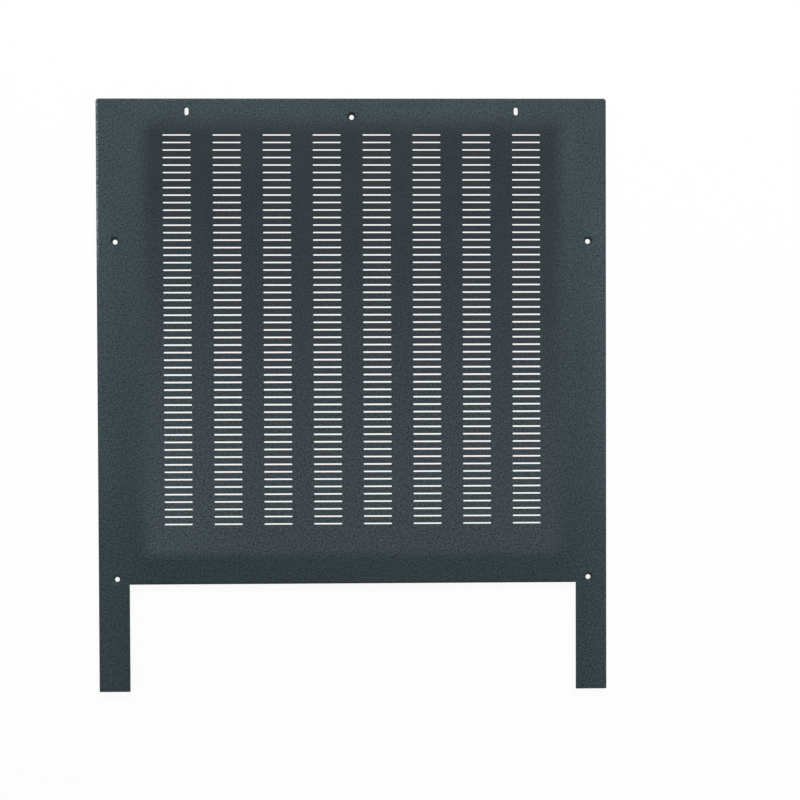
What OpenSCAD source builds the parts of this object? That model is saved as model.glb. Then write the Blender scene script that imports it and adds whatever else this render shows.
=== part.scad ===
// Vented top panel for an equipment rack. It is one piece of folded steel sheet, lying top face up on
// the free edges of its flanges. The origin is at the centre of its length and width, on the surface
// it lies on. +Y points to the front edge, and the two legs run back to -Y.

/* [Sheet] */
// Width over the two side flanges
panel_w = 520; // [420:1:620]
// Length from the front flange to the ends of the legs
panel_l = 604.6; // [480:1:760]
// Thickness of the steel sheet
sheet_t = 1.5; // [0.8:0.1:2.5]
// Inside radius of every bend
bend_r = 1.5; // [1:0.1:3]
// Height of the turned-down flanges over all
flange_h = 12.7; // [9:0.1:30]

/* [Legs] */
// Length of each leg behind the rear notch
leg_l = 109.1; // [60:1:160]
// Width of each leg over its flange
leg_w = 31.9; // [28:0.1:60]
// Width of the laser cut slit that frees each end of the notch flange from a leg
relief_w = 0.2; // [0.2:0.1:2]
// How far the slit runs past the bend into the sheet
relief_past = 0.6; // [0.2:0.1:2]

/* [Vent slots] */
// Length of a slot over its round ends
slot_l = 28.6; // [15:0.1:40]
// Width of a slot
slot_w = 1.6; // [1:0.1:4]
// Pitch between columns of slots
column_pitch = 50.8; // [45:0.1:70]
// Pitch between rows of slots
row_pitch = 7.62; // [6:0.01:15]
// From the front edge to the centre of the first row
vent_front = 37.5; // [32:0.1:80]
// Least distance from the last row to the notch
vent_rear = 58; // [20:1:90]
// Least distance from the outer columns to the side edges
vent_side = 70; // [50:1:100]

/* [Screw holes] */
// Diameter of the hole for the screw's shank
hole_d = 4.8; // [3:0.1:6]
// Diameter of the countersink at the top face
sink_d = 10; // [8:0.1:12]
// Angle of the countersink over all
sink_angle = 82; // [80:1:100]
// Straight wall of the hole below the countersink
hole_land = 0.9; // [0.5:0.1:2]
// From a side edge to the holes beside the vents
side_inset = 18.8; // [17:0.1:20]
// From the front edge to the front pair of side holes
side_front = 145.7; // [40:0.1:200]
// From the notch line to the rear pair of side holes
side_rear = 5.5; // [0:0.1:60]
// From the front edge to the hole on the centre line
centre_inset = 19; // [14:0.1:22]

/* [Adjusting slots] */
// Length of a slot, which runs front to back
adjust_l = 7.9; // [6:0.1:10]
// Width of a slot
adjust_w = 4.1; // [3:0.1:5.5]
// Distance between the two slots
adjust_gap = 334.8; // [100:1:360]
// From the front edge to the centre of each slot
adjust_inset = 13.7; // [10:0.1:20]

/* [Hidden] */
$fn = 48;
coat = "#40494d";
// how far a cutting shape runs past a face
past = 1;
side_x = panel_w / 2;
front_y = panel_l / 2;
rear_y = -panel_l / 2;
notch_y = rear_y + leg_l;
leg_x = side_x - leg_w;
bend_out = bend_r + sheet_t;
drop = flange_h - bend_out;
flat_x = side_x - bend_out;
flat_y = front_y - bend_out;
notch_flat_y = notch_y + bend_out;
notch_flange_x = leg_x - relief_w;
columns = 1 + floor((panel_w - 2 * vent_side) / column_pitch);
rows = 1 + floor((front_y - vent_front - notch_y - vent_rear) / row_pitch);
slope = tan(sink_angle / 2);
sink_depth = (sink_d - hole_d) / 2 / slope;
dimple_depth = sink_depth + hole_land;
// the wall of a dimple is as thick as the sheet, square to its slope
dimple_wall = sheet_t / cos(sink_angle / 2);
screw_places = [
    [0, front_y - centre_inset],
    for (x = [-1, 1], y = [front_y - side_front, notch_y + side_rear]) [x * (side_x - side_inset), y]
];

// a flat slot with round ends, long along X
module round_slot(length, width) {
    square([length - width, width], center = true);
    for (end = [-1, 1]) translate([end * (length - width) / 2, 0]) circle(d = width);
}

// the rows and columns of cooling slots
module vent_field() {
    for (column = [0 : columns - 1], row = [0 : rows - 1])
        translate([
            (column - (columns - 1) / 2) * column_pitch,
            front_y - vent_front - row * row_pitch
        ]) round_slot(slot_l, slot_w);
}

// the two slots at the front edge that let the panel shift before it is screwed down
module adjusting_slots() {
    for (side = [-1, 1])
        translate([side * adjust_gap / 2, front_y - adjust_inset]) rotate(90) round_slot(adjust_l, adjust_w);
}

// the gap between the legs, with the slits at its two inner corners
module rear_notch() {
    translate([-leg_x, rear_y - past]) square([2 * leg_x, notch_flat_y - rear_y + past]);
    for (side = [-1, 1])
        translate([side * (leg_x - relief_w / 2) - relief_w / 2, notch_y])
            square([relief_w, bend_out + relief_past]);
}

// the flat of the sheet inside its bends, punched
module flat_sheet() {
    translate([0, 0, flange_h - sheet_t]) linear_extrude(sheet_t)
        difference() {
            translate([-flat_x, rear_y]) square([2 * flat_x, flat_y - rear_y]);
            rear_notch();
            vent_field();
            adjusting_slots();
        }
}

// section of a bend and the flange below it, seen along the bend, with its outside towards +X
module flange_section() {
    intersection() {
        difference() {
            circle(bend_out);
            circle(bend_r);
        }
        square(bend_out);
    }
    translate([bend_r, -drop]) square([sheet_t, drop]);
}

// a bend and flange of the given length, running along +Y from the origin, with its outside towards +X
module straight_flange(length) {
    translate([0, 0, drop]) rotate([90, 0, 0]) translate([0, 0, -length]) linear_extrude(length) flange_section();
}

// the side flanges, which run on down the legs, joined to the front flange by two closed round corners
module outer_flanges() {
    for (side = [0, 1]) mirror([side, 0, 0]) {
        translate([flat_x, rear_y, 0]) straight_flange(flat_y - rear_y);
        translate([flat_x, flat_y, drop]) rotate_extrude(angle = 90) flange_section();
    }
    translate([flat_x, flat_y, 0]) rotate(90) straight_flange(2 * flat_x);
}

// the flange along the notch, between the slits
module notch_flange() {
    translate([-notch_flange_x, notch_flat_y, 0]) rotate(-90) straight_flange(2 * notch_flange_x);
}

// the metal that a screw's dimple pushes down below the sheet
module dimple() {
    low_r = sink_d / 2 - dimple_depth * slope + dimple_wall;
    high_r = sink_d / 2 - sheet_t / 2 * slope + dimple_wall;
    translate([0, 0, flange_h - dimple_depth]) cylinder(h = dimple_depth - sheet_t / 2, r1 = low_r, r2 = high_r);
}

// the hole and the countersink in a dimple
module screw_seat() {
    translate([0, 0, flange_h - dimple_depth - past]) cylinder(h = dimple_depth, d = hole_d);
    translate([0, 0, flange_h - sink_depth])
        cylinder(h = sink_depth + past, r1 = hole_d / 2, r2 = sink_d / 2 + past * slope);
}

// the whole folded sheet
module vented_top_panel() {
    color(coat) difference() {
        union() {
            flat_sheet();
            outer_flanges();
            notch_flange();
            for (place = screw_places) translate(place) dimple();
        }
        for (place = screw_places) translate(place) screw_seat();
    }
}

vented_top_panel();
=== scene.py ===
"""Looks of a vented top panel for an equipment rack.

The panel is one sheet of 16 gauge steel: punched with cooling slots, pressed with screw dimples, folded
down along its edges and finished in a textured powder coat. It lies top face up and is seen from above.
Lengths are in metres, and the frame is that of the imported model: +Y is the front edge, +Z is up.
"""

import logging
import math
from dataclasses import dataclass
from enum import Enum

import bmesh
import bpy
from mathutils import Matrix, Vector


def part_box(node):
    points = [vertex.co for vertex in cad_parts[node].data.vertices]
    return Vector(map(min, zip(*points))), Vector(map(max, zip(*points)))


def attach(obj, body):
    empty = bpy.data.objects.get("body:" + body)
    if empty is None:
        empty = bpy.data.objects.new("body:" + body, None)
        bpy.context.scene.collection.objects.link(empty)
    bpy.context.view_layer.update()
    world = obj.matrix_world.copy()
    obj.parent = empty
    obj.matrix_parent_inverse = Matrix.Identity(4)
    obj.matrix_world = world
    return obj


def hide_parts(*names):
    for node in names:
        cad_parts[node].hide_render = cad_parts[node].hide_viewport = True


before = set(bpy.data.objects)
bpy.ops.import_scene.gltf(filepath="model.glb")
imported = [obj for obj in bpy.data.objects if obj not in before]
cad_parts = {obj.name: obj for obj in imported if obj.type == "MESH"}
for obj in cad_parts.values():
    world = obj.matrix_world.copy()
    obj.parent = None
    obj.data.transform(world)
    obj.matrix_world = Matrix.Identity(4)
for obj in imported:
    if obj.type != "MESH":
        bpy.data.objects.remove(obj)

LOG = logging.getLogger("vented_top_panel")
MM = 0.001
CUBIC_CM = 1e-6
PANEL_NODE = "vented_top_panel"
# vertices nearer than this are one point of the sheet
WELD = 0.005 * MM


class Edge(Enum):
    """How an edge of the flat sheet is finished."""

    CUT = "sheared, with its wall showing"
    BENT = "folded down into a flange"


def linear(hex_colour: str) -> tuple[float, float, float, float]:
    """Turns an sRGB hex colour into the linear colour that a shader takes.

    Args:
        hex_colour: six hex digits after a hash mark.

    Returns:
        Linear red, green and blue, and an alpha of 1.
    """
    shares = [int(hex_colour[i : i + 2], 16) / 255 for i in (1, 3, 5)]
    red, green, blue = [s / 12.92 if s <= 0.04045 else ((s + 0.055) / 1.055) ** 2.4 for s in shares]
    return red, green, blue, 1.0


def add_node(
    tree: bpy.types.NodeTree, kind: str, inputs: dict | None = None, **settings: object
) -> bpy.types.Node:
    """Adds a shader node with its settings, its input values and its links.

    Args:
        tree: the node tree that takes the node.
        kind: the node's Blender type.
        inputs: for each input, by name or number, a value or the output socket that feeds it.
        settings: properties of the node itself.

    Returns:
        The new node.
    """
    node = tree.nodes.new(kind)
    for name, value in settings.items():
        setattr(node, name, value)
    for name, value in (inputs or {}).items():
        if isinstance(value, bpy.types.NodeSocket):
            tree.links.new(value, node.inputs[name])
        else:
            node.inputs[name].default_value = value
    return node


def new_verts(geometry: dict) -> list[bmesh.types.BMVert]:
    """The vertices among what a bmesh operator returns."""
    return [part for part in geometry["geom"] if isinstance(part, bmesh.types.BMVert)]


def new_edges(geometry: dict) -> list[bmesh.types.BMEdge]:
    """The edges among what a bmesh operator returns."""
    return [part for part in geometry["geom"] if isinstance(part, bmesh.types.BMEdge)]


def extrude_by(
    bm: bmesh.types.BMesh, edges: list[bmesh.types.BMEdge], move: Vector
) -> list[bmesh.types.BMEdge]:
    """Draws edges out into faces along a vector.

    Args:
        bm: the mesh.
        edges: the edges to draw out.
        move: how far they go.

    Returns:
        The edges at the far end.
    """
    drawn = bmesh.ops.extrude_edge_only(bm, edges=edges)
    bmesh.ops.translate(bm, vec=move, verts=new_verts(drawn))
    return new_edges(drawn)


def slot_ring(
    bm: bmesh.types.BMesh, length: float, width: float, segments: int, top: float
) -> list[bmesh.types.BMEdge]:
    """Makes the outline of a slot with round ends, long along X, centred on the origin.

    Args:
        bm: the mesh.
        length: length over the round ends.
        width: width between the straight sides.
        segments: edges round the two ends together, a multiple of 4.
        top: height of the outline.

    Returns:
        The outline's edges.
    """
    # half a step of turn leaves an edge, and no vertex, at each side for the straight run
    half_step = math.pi / segments
    turn = Matrix.Translation((0, 0, top)) @ Matrix.Rotation(half_step, 4, "Z")
    radius = width / 2 / math.cos(half_step)
    made = bmesh.ops.create_circle(bm, segments=segments, radius=radius, matrix=turn)
    for vert in made["verts"]:
        vert.co.x += math.copysign((length - width) / 2, vert.co.x)
    return list({edge for vert in made["verts"] for edge in vert.link_edges})


@dataclass
class VentField:
    """The grid of cooling slots, each in its own cell of sheet."""

    columns: int
    rows: int
    first_row: float
    slot_length: float = 28.6 * MM
    slot_width: float = 1.6 * MM
    column_pitch: float = 50.8 * MM
    row_pitch: float = 7.62 * MM
    segments: int = 16

    @property
    def half_width(self) -> float:
        """Half the width of the whole grid of cells."""
        return self.columns * self.column_pitch / 2

    @property
    def last_row(self) -> float:
        """Where the rearmost row of slots runs."""
        return self.first_row - (self.rows - 1) * self.row_pitch

    def holds(self, point: Vector) -> bool:
        """Tells whether a point is inside the grid of cells.

        Args:
            point: the point.

        Returns:
            True inside the grid.
        """
        front = self.first_row + self.row_pitch / 2
        rear = self.last_row - self.row_pitch / 2
        return abs(point.x) < self.half_width and rear < point.y < front

    def _to_border(self, vert: bmesh.types.BMVert) -> None:
        """Moves a copy of an outline vertex out to its place on the cell's border.

        Args:
            vert: the vertex, still on the slot's outline.
        """
        end = math.copysign((self.slot_length - self.slot_width) / 2, vert.co.x)
        across = abs(vert.co.x - end)
        steps = self.segments // 4
        step = int(math.degrees(math.atan2(abs(vert.co.y), across)) // (90 / steps))
        corner_x, corner_y = self.column_pitch / 2, self.row_pitch / 2
        # the first step from the slot's end goes to the cell's side, the second to its corner
        if step == 0:
            x, y = corner_x, corner_y / 3
        else:
            share = (step - 1) / (steps - 2)
            x, y = corner_x + (abs(end) - corner_x) * share, corner_y
        vert.co.x = math.copysign(x, vert.co.x)
        vert.co.y = math.copysign(y, vert.co.y)

    def punch(self, bm: bmesh.types.BMesh, top: float, thickness: float) -> None:
        """Makes every cell, with its slot cut through the sheet.

        Args:
            bm: the mesh.
            top: height of the top face.
            thickness: thickness of the sheet.
        """
        rim = slot_ring(bm, self.slot_length, self.slot_width, self.segments, top)
        under_rim = extrude_by(bm, rim, Vector((0, 0, -thickness)))
        cell = {vert for edge in rim + under_rim for vert in edge.verts}
        for edges in (rim, under_rim):
            for vert in new_verts(bmesh.ops.extrude_edge_only(bm, edges=edges)):
                self._to_border(vert)
                cell.add(vert)
        faces = list({face for vert in cell for face in vert.link_faces})
        start = Vector((self.column_pitch * (1 - self.columns) / 2, self.first_row, 0))
        bmesh.ops.translate(bm, vec=start, verts=list(cell))
        column = self._repeat(bm, faces, self.rows, Vector((0, -self.row_pitch, 0)))
        self._repeat(bm, column, self.columns, Vector((self.column_pitch, 0, 0)))

    def _repeat(
        self, bm: bmesh.types.BMesh, faces: list[bmesh.types.BMFace], count: int, step: Vector
    ) -> list[bmesh.types.BMFace]:
        """Copies faces in a row.

        Args:
            bm: the mesh.
            faces: the faces to copy.
            count: how many there are in the end, with the first.
            step: from one copy to the next.

        Returns:
            The first faces and all their copies.
        """
        every = list(faces)
        verts = {vert for face in faces for vert in face.verts}
        edges = {edge for face in faces for edge in face.edges}
        source = list(verts) + list(edges) + list(faces)
        for copy in range(1, count):
            made = bmesh.ops.duplicate(bm, geom=source)
            bmesh.ops.translate(bm, vec=step * copy, verts=new_verts(made))
            every += [part for part in made["geom"] if isinstance(part, bmesh.types.BMFace)]
        return every


@dataclass
class ScrewDimple:
    """A hole for a flat head screw, pressed down so that the head sits flush in thin sheet."""

    hole_radius: float = 2.4 * MM
    mouth_radius: float = 5.0 * MM
    cone_angle: float = math.radians(82)
    land: float = 0.9 * MM
    flat_ring: float = 2.0 * MM
    segments: int = 40

    @property
    def reach(self) -> float:
        """Radius of the disc of sheet that the dimple brings with it."""
        return self.mouth_radius + self.flat_ring

    def press(self, bm: bmesh.types.BMesh, place: Vector, thickness: float) -> None:
        """Makes the dimple and the flat ring round it, on both faces of the sheet.

        Args:
            bm: the mesh.
            place: the hole's axis at the top face.
            thickness: thickness of the sheet.
        """
        slope = math.tan(self.cone_angle / 2)
        cone_depth = (self.mouth_radius - self.hole_radius) / slope
        depth = cone_depth + self.land
        # the pressed wall keeps the sheet's thickness, square to the cone
        wall = thickness / math.cos(self.cone_angle / 2)
        section = [
            (self.reach, 0.0),
            (self.mouth_radius, 0.0),
            (self.hole_radius, -cone_depth),
            (self.hole_radius, -depth),
            (self.mouth_radius - depth * slope + wall, -depth),
            (self.mouth_radius - thickness * slope + wall, -thickness),
            (self.reach, -thickness),
        ]
        verts = [bm.verts.new(place + Vector((radius, 0, height))) for radius, height in section]
        edges = [bm.edges.new(pair) for pair in zip(verts, verts[1:])]
        bmesh.ops.spin(
            bm,
            geom=verts + edges,
            cent=place,
            axis=(0, 0, 1),
            angle=math.tau,
            steps=self.segments,
            use_merge=True,
        )


@dataclass
class AdjustingSlot:
    """A slot near the front edge that lets the panel shift before it is screwed down."""

    length: float = 7.9 * MM
    width: float = 4.1 * MM
    flat_ring: float = 1.5 * MM
    segments: int = 24

    def punch(self, bm: bmesh.types.BMesh, place: Vector, thickness: float) -> None:
        """Cuts the slot, long along Y, with a flat ring round it on both faces.

        Args:
            bm: the mesh.
            place: the slot's centre at the top face.
            thickness: thickness of the sheet.
        """
        rim = slot_ring(bm, self.length, self.width, self.segments, 0)
        under_rim = extrude_by(bm, rim, Vector((0, 0, -thickness)))
        made = {vert for edge in rim + under_rim for vert in edge.verts}
        for edges in (rim, under_rim):
            for vert in new_verts(bmesh.ops.extrude_edge_only(bm, edges=edges)):
                end = Vector((math.copysign((self.length - self.width) / 2, vert.co.x), 0, vert.co.z))
                vert.co += (vert.co - end).normalized() * self.flat_ring
                made.add(vert)
        quarter_turn = Matrix.Translation(place) @ Matrix.Rotation(math.pi / 2, 4, "Z")
        bmesh.ops.transform(bm, matrix=quarter_turn, verts=list(made))


@dataclass
class FoldedSheet:
    """The whole panel: a flat of sheet steel with its bends and flanges, and all that is punched in it."""

    low: Vector
    high: Vector
    thickness: float = 1.5 * MM
    bend_radius: float = 1.5 * MM
    leg_length: float = 109.1 * MM
    leg_width: float = 31.9 * MM
    slit_width: float = 0.2 * MM
    slit_past: float = 0.6 * MM
    vent_front: float = 37.5 * MM
    side_inset: float = 18.8 * MM
    side_front: float = 145.7 * MM
    side_rear: float = 5.5 * MM
    centre_inset: float = 19.0 * MM
    adjust_spread: float = 334.8 * MM
    adjust_inset: float = 13.7 * MM
    # a plain border of sheet just inside the outline, so that its softened edge is clean
    border: float = 2.0 * MM
    # how far the coat rounds a sheared edge, and the shoulder of a pressed one
    soft_edge: float = 0.25 * MM
    soft_slot: float = 0.12 * MM
    soft_shoulder: float = 0.5 * MM
    bend_steps: int = 10
    sharp: float = math.radians(35)

    def __post_init__(self) -> None:
        """Works out the lines that the sheet is folded and cut along."""
        self.top = self.high.z
        self.under = self.top - self.thickness
        self.outer_radius = self.bend_radius + self.thickness
        self.bend_height = self.top - self.outer_radius
        self.flat_x = self.high.x - self.outer_radius
        self.flat_y = self.high.y - self.outer_radius
        self.leg_x = self.high.x - self.leg_width
        self.slit_x = self.leg_x - self.slit_width
        self.notch_y = self.low.y + self.leg_length
        self.notch_flat_y = self.notch_y + self.outer_radius
        self.slit_y = self.notch_flat_y + self.slit_past
        self.vents = VentField(columns=8, rows=53, first_row=self.high.y - self.vent_front)
        self.dimple = ScrewDimple()
        self.adjuster = AdjustingSlot()

    def screw_places(self) -> list[Vector]:
        """Finds the screw holes.

        Returns:
            The axes of the five holes at the top face.
        """
        side_x = self.high.x - self.side_inset
        rows = (self.high.y - self.side_front, self.notch_y + self.side_rear)
        places = [Vector((x, y, self.top)) for x in (-side_x, side_x) for y in rows]
        return places + [Vector((0, self.high.y - self.centre_inset, self.top))]

    def outline(self) -> list[tuple[float, float, Edge]]:
        """The corners of the flat, clockwise from the front right.

        Returns:
            For each corner its x and y, and how the edge from it to the next corner is finished.
        """
        right = [
            (self.flat_x, self.flat_y, Edge.BENT),
            (self.flat_x, self.low.y, Edge.CUT),
            (self.leg_x, self.low.y, Edge.CUT),
            (self.leg_x, self.notch_y, Edge.CUT),
            (self.leg_x, self.slit_y, Edge.CUT),
            (self.slit_x, self.slit_y, Edge.CUT),
            (self.slit_x, self.notch_flat_y, Edge.BENT),
        ]
        # the left half runs back round the other way, so each edge takes the finish of its mirror image
        finishes = [right[-1][2]] + [finish for _, _, finish in right[:-1]]
        left = [(-x, y, finishes[-1 - i]) for i, (x, y, _) in enumerate(reversed(right))]
        return right + left

    def _flat(self, bm: bmesh.types.BMesh) -> None:
        """Makes the border of the flat on both faces and the walls of its cut edges.

        Args:
            bm: the mesh.
        """
        corners = self.outline()
        verts = [bm.verts.new((x, y, self.top)) for x, y, _ in corners]
        blank = bm.faces.new(verts)
        cut = [
            bm.edges.get((verts[i], verts[(i + 1) % len(verts)]))
            for i, corner in enumerate(corners)
            if corner[2] is Edge.CUT
        ]
        bmesh.ops.inset_region(
            bm, faces=[blank], thickness=self.border, use_boundary=True, use_even_offset=True
        )
        bmesh.ops.delete(bm, geom=[blank], context="FACES_ONLY")
        border = list({face for vert in verts for face in vert.link_faces})
        both = bmesh.ops.duplicate(bm, geom=border)
        bmesh.ops.translate(bm, vec=(0, 0, -self.thickness), verts=new_verts(both))
        extrude_by(bm, cut, Vector((0, 0, -self.thickness)))

    def _section(self, bm: bmesh.types.BMesh, start: Vector, outward: Vector) -> list[bmesh.types.BMVert]:
        """Draws the section of a bend and its flange, from the top face round to the under face.

        Args:
            bm: the mesh.
            start: where the bend's axis starts.
            outward: the way that the flange faces.

        Returns:
            The section's vertices, in order.
        """
        along = Vector((0, 0, 1)).cross(outward)
        fold = math.pi / 2
        section = [bm.verts.new(start + Vector((0, 0, self.outer_radius)))]

        def draw(move: Vector) -> None:
            """Draws the section on in a straight line.

            Args:
                move: how far the line goes.
            """
            drawn = bmesh.ops.extrude_vert_indiv(bm, verts=[section[-1]])
            drawn["verts"][0].co += move
            section.append(drawn["verts"][0])

        def bend(angle: float) -> None:
            """Draws the section on in an arc about the bend's axis.

            Args:
                angle: how far the arc turns.
            """
            for _ in range(self.bend_steps):
                drawn = bmesh.ops.extrude_vert_indiv(bm, verts=[section[-1]])
                turn = Matrix.Rotation(angle / self.bend_steps, 3, along)
                bmesh.ops.rotate(bm, cent=start, matrix=turn, verts=drawn["verts"])
                section.append(drawn["verts"][0])

        bend(fold)
        draw(Vector((0, 0, -self.bend_height)))
        draw(-outward * self.thickness)
        draw(Vector((0, 0, self.bend_height)))
        bend(-fold)
        return section

    def _section_edges(
        self, bm: bmesh.types.BMesh, section: list[bmesh.types.BMVert]
    ) -> list[bmesh.types.BMEdge]:
        """The edges that join a section's vertices in order."""
        return [bm.edges.get(pair) for pair in zip(section, section[1:])]

    def _cap(self, bm: bmesh.types.BMesh, corners: list[Vector]) -> None:
        """Closes the cut end of a flange with one face."""
        bm.faces.new([bm.verts.new(corner) for corner in corners])

    def _outer_flanges(self, bm: bmesh.types.BMesh) -> None:
        """Sweeps the side flanges, the two closed corners and the front flange in one run.

        Args:
            bm: the mesh.
        """
        start = Vector((self.flat_x, self.low.y, self.bend_height))
        section = self._section(bm, start, Vector((1, 0, 0)))
        profile = [vert.co.copy() for vert in section]
        edges = self._section_edges(bm, section)
        side = Vector((0, self.flat_y - self.low.y, 0))
        edges = extrude_by(bm, edges, side)
        for pivot_x, run in ((self.flat_x, Vector((-2 * self.flat_x, 0, 0))), (-self.flat_x, -side)):
            corner = bmesh.ops.spin(
                bm,
                geom=list({vert for edge in edges for vert in edge.verts}) + edges,
                cent=(pivot_x, self.flat_y, 0),
                axis=(0, 0, 1),
                angle=math.pi / 2,
                steps=self.bend_steps,
            )
            edges = [part for part in corner["geom_last"] if isinstance(part, bmesh.types.BMEdge)]
            edges = extrude_by(bm, edges, run)
        self._cap(bm, profile)
        self._cap(bm, [Vector((-corner.x, corner.y, corner.z)) for corner in profile])

    def _notch_flange(self, bm: bmesh.types.BMesh) -> None:
        """Sweeps the flange along the notch, between the slits.

        Args:
            bm: the mesh.
        """
        start = Vector((self.slit_x, self.notch_flat_y, self.bend_height))
        section = self._section(bm, start, Vector((0, -1, 0)))
        profile = [vert.co.copy() for vert in section]
        extrude_by(bm, self._section_edges(bm, section), Vector((-2 * self.slit_x, 0, 0)))
        self._cap(bm, profile)
        self._cap(bm, [Vector((-corner.x, corner.y, corner.z)) for corner in profile])

    def _fill(self, bm: bmesh.types.BMesh, height: float) -> None:
        """Fills one face of the sheet between its border and everything punched in it.

        Args:
            bm: the mesh.
            height: the face's height.
        """
        rims = [
            edge
            for edge in bm.edges
            if edge.is_boundary and all(abs(vert.co.z - height) < WELD for vert in edge.verts)
        ]
        bmesh.ops.triangle_fill(bm, edges=rims, use_beauty=True, normal=(0, 0, 1))

    def _in_slit(self, point: Vector) -> bool:
        """Whether a point is on a wall of one of the laser cut slits, whose edges stay crisp."""
        beside = self.slit_x - WELD < abs(point.x) < self.leg_x + WELD
        return beside and point.y > self.notch_y + WELD and point.z > self.bend_height

    def _soften(self, bm: bmesh.types.BMesh) -> None:
        """Rounds the sheared and pressed edges, as the press and the coat leave them.

        Args:
            bm: the mesh.
        """
        slots, shoulders, others = [], [], []
        screws = self.screw_places()
        for edge in bm.edges:
            middle = (edge.verts[0].co + edge.verts[1].co) / 2
            if not edge.is_manifold or edge.calc_face_angle() < self.sharp or self._in_slit(middle):
                continue
            if self.vents.holds(middle):
                # the die draws in the top of each slot and leaves its underside crisp
                if middle.z > self.under + WELD:
                    slots.append(edge)
            elif min((middle - place).xy.length for place in screws) < self.dimple.reach:
                shoulders.append(edge)
            else:
                others.append(edge)
        for edges, width in (
            (slots, self.soft_slot),
            (shoulders, self.soft_shoulder),
            (others, self.soft_edge),
        ):
            bmesh.ops.bevel(
                bm,
                geom=edges,
                offset=width,
                offset_type="OFFSET",
                segments=2,
                profile=0.5,
                affect="EDGES",
                clamp_overlap=True,
                material=-1,
            )

    def build(self) -> bpy.types.Object:
        """Builds the panel as one closed mesh.

        Returns:
            The panel, at the origin and with its place in its mesh.
        """
        bm = bmesh.new()
        self._flat(bm)
        self._outer_flanges(bm)
        self._notch_flange(bm)
        self.vents.punch(bm, self.top, self.thickness)
        for place in self.screw_places():
            self.dimple.press(bm, place, self.thickness)
        for side in (-1, 1):
            place = Vector((side * self.adjust_spread / 2, self.high.y - self.adjust_inset, self.top))
            self.adjuster.punch(bm, place, self.thickness)
        bmesh.ops.remove_doubles(bm, verts=bm.verts[:], dist=WELD)
        self._fill(bm, self.top)
        self._fill(bm, self.under)
        bmesh.ops.recalc_face_normals(bm, faces=bm.faces[:])
        self._soften(bm)
        open_edges = sum(not edge.is_manifold for edge in bm.edges)
        volume = bm.calc_volume() / CUBIC_CM
        LOG.info("sheet: %d faces, %d open edges, %.1f cm3", len(bm.faces), open_edges, volume)
        for face in bm.faces:
            face.smooth = True
        for edge in bm.edges:
            edge.smooth = not edge.is_manifold or edge.calc_face_angle() < self.sharp
        mesh = bpy.data.meshes.new("folded_sheet")
        bm.to_mesh(mesh)
        bm.free()
        panel = bpy.data.objects.new("folded_sheet", mesh)
        bpy.context.scene.collection.objects.link(panel)
        # flat faces set the normals of the narrow rounds beside them, so the flat stays flat to the eye
        shade = panel.modifiers.new("flat_faces_lead", "WEIGHTED_NORMAL")
        shade.mode = "FACE_AREA"
        shade.keep_sharp = True
        return panel

    def dress(self, panel: bpy.types.Object, coat: bpy.types.Material) -> None:
        """Coats the panel and puts it in the place of its solid.

        Args:
            panel: the panel.
            coat: its material.
        """
        panel.data.materials.append(coat)
        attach(panel, "root")
        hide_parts(PANEL_NODE)


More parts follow.
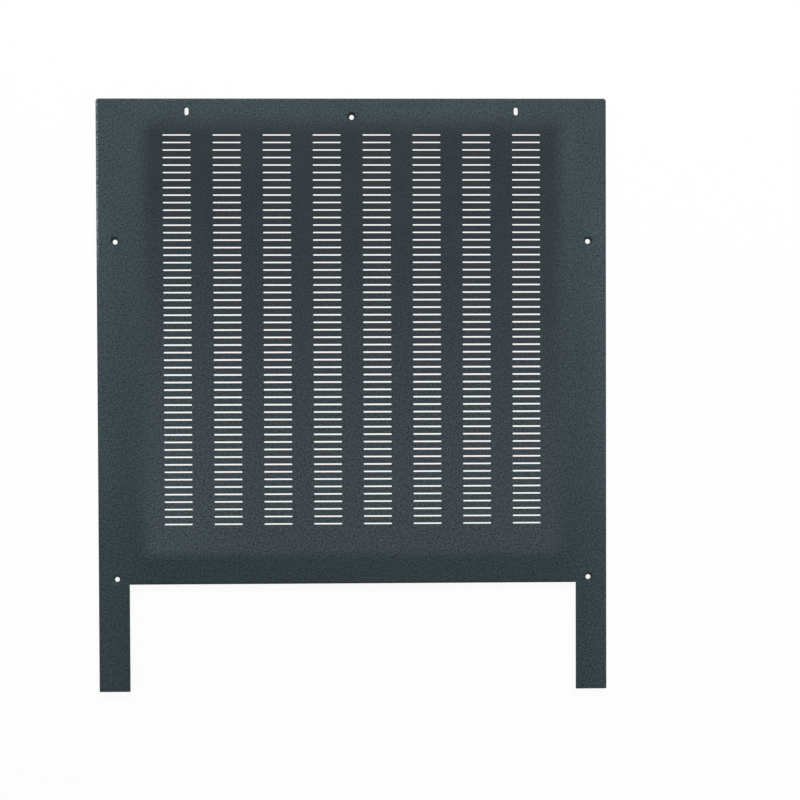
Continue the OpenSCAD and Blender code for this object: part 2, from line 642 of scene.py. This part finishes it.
@dataclass(frozen=True)
class TexturedPowderCoat:
    """Polyester powder coat, sprayed dry on steel and baked so that it sets in a fine sandy texture.

    It gives the eye a charcoal that is a little blue-green, with a soft broad gloss broken up by grains,
    patches where the grey leans to teal or to violet, and no metal showing anywhere. The grains are drawn
    darker in their hollows and lighter on their tops, as painted shade and light over their grainy tone.
    The punched area is darker and bluer than the plain margins towards the front, a little lighter towards
    the rear, and fades into the margins with no line. The strip between the slots and the notch is a
    little darker again. Painted light lifts the coat over the left columns of slots and along the middle
    of both side edges, and a thin painted highlight runs along the crest of the left bend. How thick the
    powder lies would explain these tones, but that is a guess.
    """

    colour: str = "#2b3b3f"
    patch_colour: str = "#2d3a40"
    vent_front_colour: str = "#152229"
    vent_rear_colour: str = "#343f45"
    strip_colour: str = "#233237"
    # the real grains are about 1 mm across, and are drawn coarser so that they show from a metre away
    grain: float = 1.8 * MM
    pebble: float = 1.4 * MM
    patch: float = 24.0 * MM
    relief: float = 0.12 * MM
    # how much darker and lighter than the colour the grains are drawn: painted shade in their hollows and
    # painted light on their tops, over their grainy tone
    grain_depth: float = 0.92
    roughness: float = 0.7
    roughness_spread: float = 0.03
    ior: float = 1.5
    # the powder holds a matting agent, so it mirrors less than clear polyester and more widely
    specular: float = 0.35
    # heights between which a tone of the top face fades in
    top_face: tuple[float, float] = (11.4 * MM, 12.4 * MM)
    # where the vent area's tone begins and where it is full: beside, in front and behind
    vent_side: tuple[float, float] = (224.0 * MM, 200.0 * MM)
    vent_front: tuple[float, float] = (290.0 * MM, 264.0 * MM)
    vent_rear: tuple[float, float] = (-170.0 * MM, -156.0 * MM)
    # where the vent area's tone turns from that of its rear into that of its front
    vent_along: tuple[float, float] = (-171.0 * MM, 249.0 * MM)
    # where the tone of the strip behind the slots begins and where it is full: beside and in front
    strip_side: tuple[float, float] = (260.0 * MM, 200.0 * MM)
    strip_front: tuple[float, float] = (-70.0 * MM, -170.0 * MM)
    # how much painted light lifts the coat over the left columns and along the side edges
    painted_lift: float = 0.25
    # where that begins and where it is full: over the left columns, beside, in front and behind
    painted_lift_left: tuple[float, float] = (-80.0 * MM, -215.0 * MM)
    painted_lift_side: tuple[float, float] = (230.0 * MM, 262.0 * MM)
    painted_lift_front: tuple[float, float] = (240.0 * MM, 150.0 * MM)
    painted_lift_rear: tuple[float, float] = (-150.0 * MM, -60.0 * MM)
    # a painted highlight: a thin light line along the crest of the left bend, broken up by the grains
    bend_highlight_colour: str = "#7c868b"
    bend_highlight_x: float = -258.15 * MM
    bend_highlight_width: tuple[float, float] = (1.3 * MM, 0.2 * MM)
    bend_highlight_start: tuple[float, float] = (100.0 * MM, 190.0 * MM)
    bend_highlight_grain: tuple[float, float] = (0.3, 0.6)
    # parts of each noise's span over which its effect runs
    grain_span: tuple[float, float] = (0.2, 0.8)
    tint_span: tuple[float, float] = (0.35, 0.65)
    gloss_span: tuple[float, float] = (0.3, 0.7)

    def _area(
        self,
        tree: bpy.types.NodeTree,
        sides: list[tuple[bpy.types.NodeSocket, tuple[float, float]]],
    ) -> bpy.types.NodeSocket:
        """Adds the nodes that find an area with soft edges.

        Args:
            tree: the material's node tree.
            sides: for each side, the measure that it goes by, and where the area begins and is full.

        Returns:
            How far a point is inside the area, from 0 to 1.
        """
        inside = None
        for measure, (begins, full) in sides:
            fade = add_node(
                tree,
                "ShaderNodeMapRange",
                {"Value": measure, "From Min": begins, "From Max": full},
                interpolation_type="SMOOTHSTEP",
            ).outputs[0]
            if inside is None:
                inside = fade
            else:
                inside = add_node(
                    tree, "ShaderNodeMath", {0: inside, 1: fade}, operation="MULTIPLY"
                ).outputs[0]
        return inside

    def _relief(
        self, tree: bpy.types.NodeTree, place: bpy.types.NodeSocket, grain: bpy.types.NodeSocket
    ) -> bpy.types.NodeSocket:
        """Adds the nodes that raise the grains and sink the hollows between them.

        Args:
            tree: the material's node tree.
            place: Object coordinates.
            grain: the noise that the grains follow.

        Returns:
            The surface's normal.
        """
        pebble = add_node(
            tree,
            "ShaderNodeTexVoronoi",
            {"Vector": place, "Scale": 1 / self.pebble},
            feature="SMOOTH_F1",
        ).outputs["Distance"]
        height = add_node(tree, "ShaderNodeMath", {0: grain, 1: pebble}, operation="SUBTRACT").outputs[0]
        return add_node(
            tree, "ShaderNodeBump", {"Height": height, "Distance": self.relief, "Strength": 1.0}
        ).outputs["Normal"]

    def _margin(self, tree: bpy.types.NodeTree, patch: bpy.types.NodeSocket) -> bpy.types.NodeSocket:
        """Adds the nodes that colour the plain margins, with their patches.

        Args:
            tree: the material's node tree.
            patch: the noise that the patches follow.

        Returns:
            The margins' colour.
        """
        leaning = add_node(
            tree,
            "ShaderNodeMapRange",
            {"Value": patch, "From Min": self.tint_span[0], "From Max": self.tint_span[1]},
        ).outputs[0]
        return add_node(
            tree,
            "ShaderNodeMix",
            {0: leaning, 6: linear(self.colour), 7: linear(self.patch_colour)},
            data_type="RGBA",
        ).outputs[2]

    def _vents(
        self, tree: bpy.types.NodeTree, where: dict[str, bpy.types.NodeSocket]
    ) -> bpy.types.NodeSocket:
        """Adds the nodes that colour the punched area, from its rear to its front.

        Args:
            tree: the material's node tree.
            where: the point's X, Y and Z, and how far it is aside from the middle.

        Returns:
            The punched area's colour.
        """
        forward = self._area(tree, [(where["Y"], self.vent_along)])
        return add_node(
            tree,
            "ShaderNodeMix",
            {0: forward, 6: linear(self.vent_rear_colour), 7: linear(self.vent_front_colour)},
            data_type="RGBA",
        ).outputs[2]

    def _bend_highlight(
        self,
        tree: bpy.types.NodeTree,
        where: dict[str, bpy.types.NodeSocket],
        grain: bpy.types.NodeSocket,
    ) -> bpy.types.NodeSocket:
        """Adds the nodes that find the painted highlight along the crest of the left bend, broken up by the
        grains.

        Args:
            tree: the material's node tree.
            where: the point's X, Y and Z, and how far it is aside from the middle.
            grain: the noise that the grains follow.

        Returns:
            How much of the painted highlight a point takes, from 0 to 1.
        """
        off_crest = add_node(
            tree, "ShaderNodeMath", {0: where["X"], 1: self.bend_highlight_x}, operation="SUBTRACT"
        ).outputs[0]
        off_crest = add_node(tree, "ShaderNodeMath", {0: off_crest}, operation="ABSOLUTE").outputs[0]
        return self._area(
            tree,
            [
                (off_crest, self.bend_highlight_width),
                (where["Y"], self.bend_highlight_start),
                (where["Z"], self.top_face),
                (grain, self.bend_highlight_grain),
            ],
        )

    def _painted_lift(
        self,
        tree: bpy.types.NodeTree,
        where: dict[str, bpy.types.NodeSocket],
        vented: bpy.types.NodeSocket,
    ) -> bpy.types.NodeSocket:
        """Adds the nodes that paint light over the left columns and along the side edges.

        Args:
            tree: the material's node tree.
            where: the point's X, Y and Z, and how far it is aside from the middle.
            vented: how far a point is inside the punched area.

        Returns:
            What the coat's colour is multiplied by.
        """
        over_left = self._area(tree, [(where["X"], self.painted_lift_left), (where["Y"], self.painted_lift_front)])
        over_left = add_node(
            tree, "ShaderNodeMath", {0: over_left, 1: vented}, operation="MULTIPLY"
        ).outputs[0]
        along_sides = self._area(
            tree,
            [
                (where["aside"], self.painted_lift_side),
                (where["Y"], self.painted_lift_front),
                (where["Y"], self.painted_lift_rear),
                (where["Z"], self.top_face),
            ],
        )
        either = add_node(
            tree, "ShaderNodeMath", {0: over_left, 1: along_sides}, operation="MAXIMUM"
        ).outputs[0]
        return add_node(
            tree, "ShaderNodeMath", {0: either, 1: self.painted_lift, 2: 1.0}, operation="MULTIPLY_ADD"
        ).outputs[0]

    def _colour(
        self,
        tree: bpy.types.NodeTree,
        place: bpy.types.NodeSocket,
        grain: bpy.types.NodeSocket,
        patch: bpy.types.NodeSocket,
    ) -> bpy.types.NodeSocket:
        """Adds the nodes that give each part of the panel its tone, broken up by the grains, with painted
        shade, painted light and a painted highlight laid in.

        Args:
            tree: the material's node tree.
            place: Object coordinates.
            grain: the noise that the grains follow.
            patch: the noise that the patches follow.

        Returns:
            The coat's colour.
        """
        axes = add_node(tree, "ShaderNodeSeparateXYZ", {0: place}).outputs
        where = {axis: axes[axis] for axis in "XYZ"}
        where["aside"] = add_node(tree, "ShaderNodeMath", {0: axes["X"]}, operation="ABSOLUTE").outputs[0]
        vented = self._area(
            tree,
            [
                (where["aside"], self.vent_side),
                (where["Y"], self.vent_front),
                (where["Y"], self.vent_rear),
                (where["Z"], self.top_face),
            ],
        )
        behind = self._area(
            tree,
            [
                (where["aside"], self.strip_side),
                (where["Y"], self.strip_front),
                (where["Z"], self.top_face),
            ],
        )
        tone = self._margin(tree, patch)
        for share, over in (
            (behind, linear(self.strip_colour)),
            (vented, self._vents(tree, where)),
            # last, the painted highlight along the crest of the left bend
            (self._bend_highlight(tree, where, grain), linear(self.bend_highlight_colour)),
        ):
            tone = add_node(
                tree, "ShaderNodeMix", {0: share, 6: tone, 7: over}, data_type="RGBA"
            ).outputs[2]
        # the grains drawn darker in their hollows and lighter on their tops: painted shade and light over
        # their grainy tone
        shade = add_node(
            tree,
            "ShaderNodeMapRange",
            {
                "Value": grain,
                "From Min": self.grain_span[0],
                "From Max": self.grain_span[1],
                "To Min": 1 - self.grain_depth,
                "To Max": 1 + self.grain_depth,
            },
        ).outputs[0]
        # painted light over the left columns and along the side edges
        painted_light = self._painted_lift(tree, where, vented)
        shade = add_node(tree, "ShaderNodeMath", {0: shade, 1: painted_light}, operation="MULTIPLY").outputs[0]
        return add_node(
            tree, "ShaderNodeVectorMath", {0: tone, 3: shade}, operation="SCALE"
        ).outputs[0]

    def build(self) -> bpy.types.Material:
        """Builds the coat as a procedural material on Object coordinates.

        Returns:
            The material.
        """
        material = bpy.data.materials.new("textured_powder_coat")
        material.use_nodes = True
        tree = material.node_tree
        tree.nodes.clear()
        place = add_node(tree, "ShaderNodeTexCoord").outputs["Object"]
        grain = add_node(
            tree,
            "ShaderNodeTexNoise",
            {"Vector": place, "Scale": 1 / self.grain, "Detail": 1.0, "Roughness": 0.5},
        ).outputs["Fac"]
        patch = add_node(
            tree, "ShaderNodeTexNoise", {"Vector": place, "Scale": 1 / self.patch, "Detail": 1.0}
        ).outputs["Fac"]
        gloss = add_node(
            tree,
            "ShaderNodeMapRange",
            {
                "Value": patch,
                "From Min": self.gloss_span[0],
                "From Max": self.gloss_span[1],
                "To Min": self.roughness - self.roughness_spread,
                "To Max": self.roughness + self.roughness_spread,
            },
        ).outputs[0]
        coat = add_node(
            tree,
            "ShaderNodeBsdfPrincipled",
            {
                "Base Color": self._colour(tree, place, grain, patch),
                "Roughness": gloss,
                "IOR": self.ior,
                "Specular IOR Level": self.specular,
                "Normal": self._relief(tree, place, grain),
            },
        )
        add_node(tree, "ShaderNodeOutputMaterial", {"Surface": coat.outputs[0]})
        return material


@dataclass(frozen=True)
class WhitePaper:
    """Matt white background paper, seen as an even white by the eye and by all that mirrors it."""

    colour: str = "#f2f2f2"
    # share of the paper's look that comes from its own even white and not from the lamps
    own_white: float = 0.94

    def build(self) -> bpy.types.Material:
        """Builds the paper, which keeps a little of the object's shadow.

        Returns:
            The material.
        """
        material = bpy.data.materials.new("white_paper")
        material.use_nodes = True
        tree = material.node_tree
        tree.nodes.clear()
        ray = add_node(tree, "ShaderNodeLightPath").outputs
        seen = ray["Is Camera Ray"]
        for other in ("Is Glossy Ray", "Is Transmission Ray"):
            seen = add_node(tree, "ShaderNodeMath", {0: seen, 1: ray[other]}, operation="MAXIMUM").outputs[0]
        share = add_node(
            tree, "ShaderNodeMath", {0: seen, 1: self.own_white}, operation="MULTIPLY"
        ).outputs[0]
        paper = add_node(tree, "ShaderNodeBsdfDiffuse", {"Color": linear(self.colour)}).outputs[0]
        white = add_node(tree, "ShaderNodeEmission", {"Color": (1, 1, 1, 1), "Strength": 1.0}).outputs[0]
        mix = add_node(tree, "ShaderNodeMixShader", {0: share, 1: paper, 2: white}).outputs[0]
        add_node(tree, "ShaderNodeOutputMaterial", {"Surface": mix})
        return material


@dataclass(frozen=True)
class SoftBox:
    """A soft lamp that faces the middle of the object."""

    name: str
    place: tuple[float, float, float]
    size: tuple[float, float]
    watts: float

    def hang(self) -> None:
        """Hangs the lamp in its place."""
        light = bpy.data.lights.new(self.name, "AREA")
        light.shape = "RECTANGLE"
        light.size, light.size_y = self.size
        light.energy = self.watts
        lamp = bpy.data.objects.new(self.name, light)
        place = Vector(self.place)
        turn = (-place).to_track_quat("-Z", "Y").to_matrix().to_4x4()
        lamp.matrix_world = Matrix.Translation(place) @ turn
        bpy.context.scene.collection.objects.link(lamp)


@dataclass
class Studio:
    """The paper round the object, the soft lamps and the camera."""

    floor_radius: float = 5.0
    cove_radius: float = 1.0
    wall_height: float = 3.0
    cove_steps: int = 12
    turn_steps: int = 96
    camera_place: Vector = Vector((34.5 * MM, 7.0 * MM, 1033.7 * MM))
    # the camera's turn about X, Y and Z in degrees, and its lens and sensor in millimetres
    camera_turn: tuple[float, float, float] = (-0.683, -0.779, -0.2)
    lens: float = 45.0
    sensor: float = 36.0
    # brightness of the pale room round the studio
    surround: float = 0.2
    lamps: tuple[SoftBox, ...] = (
        SoftBox("front_key", place=(0.0, 1.7, 2.0), size=(1.2, 0.8), watts=51.5),
        SoftBox("left_fill", place=(-1.2, 0.9, 1.3), size=(0.6, 0.6), watts=3.0),
        SoftBox("right_fill", place=(1.2, 0.0, 1.6), size=(0.8, 0.8), watts=7.8),
    )

    def lay_floor(self, low: Vector) -> bpy.types.Object:
        """Lays the paper under the object, which curves up into a wall on every side.

        Args:
            low: the object's lowest corner.

        Returns:
            The paper.
        """
        bm = bmesh.new()
        centre = Vector((0, 0, low.z))
        line = [centre.copy(), centre + Vector((self.floor_radius, 0, 0))]
        for step in range(1, self.cove_steps + 1):
            angle = math.pi / 2 * step / self.cove_steps
            rise = Vector((math.sin(angle), 0, 1 - math.cos(angle))) * self.cove_radius
            line.append(line[1] + rise)
        line.append(line[-1] + Vector((0, 0, self.wall_height)))
        verts = [bm.verts.new(point) for point in line]
        edges = [bm.edges.new(pair) for pair in zip(verts, verts[1:])]
        bmesh.ops.spin(
            bm,
            geom=verts + edges,
            cent=centre,
            axis=(0, 0, 1),
            angle=math.tau,
            steps=self.turn_steps,
            use_merge=True,
        )
        bmesh.ops.remove_doubles(bm, verts=bm.verts[:], dist=WELD)
        mesh = bpy.data.meshes.new("paper_cove")
        bm.to_mesh(mesh)
        bm.free()
        cove = bpy.data.objects.new("paper_cove", mesh)
        cove.data.materials.append(WhitePaper().build())
        bpy.context.scene.collection.objects.link(cove)
        return cove

    def light(self) -> None:
        """Lights the object from high beyond its front edge, with a fill on each side."""
        for lamp in self.lamps:
            lamp.hang()
        world = bpy.data.worlds.new("pale_room")
        bpy.context.scene.world = world
        world.use_nodes = True
        tree = world.node_tree
        tree.nodes.clear()
        room = add_node(
            tree, "ShaderNodeBackground", {"Color": (1, 1, 1, 1), "Strength": self.surround}
        ).outputs[0]
        add_node(tree, "ShaderNodeOutputWorld", {"Surface": room})

    def place_camera(self) -> None:
        """Sets the camera a metre above the panel, as on a copy stand."""
        data = bpy.data.cameras.new("overhead_camera")
        data.lens = self.lens
        data.sensor_width = self.sensor
        camera = bpy.data.objects.new("overhead_camera", data)
        camera.location = self.camera_place
        camera.rotation_euler = [math.radians(angle) for angle in self.camera_turn]
        bpy.context.scene.collection.objects.link(camera)
        bpy.context.scene.camera = camera


def corners(box: tuple[Vector, Vector]) -> list[list[float]]:
    """A box's two corners as plain lists of numbers."""
    return [list(corner) for corner in box]


def main() -> None:
    """Builds the panel and its studio, and reports each piece."""
    logging.basicConfig(level=logging.INFO, format="%(name)s: %(message)s")
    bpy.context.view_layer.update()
    low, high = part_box(PANEL_NODE)
    studio = Studio()
    studio.place_camera()
    studio.lay_floor(low)
    studio.light()
    sheet = FoldedSheet(low, high)
    panel = sheet.build()
    sheet.dress(panel, TexturedPowderCoat().build())
    bpy.context.scene.view_settings.view_transform = "Standard"
    LOG.info("%s: %d polygons", panel.name, len(panel.data.polygons))


if __name__ == "__main__":
    main()
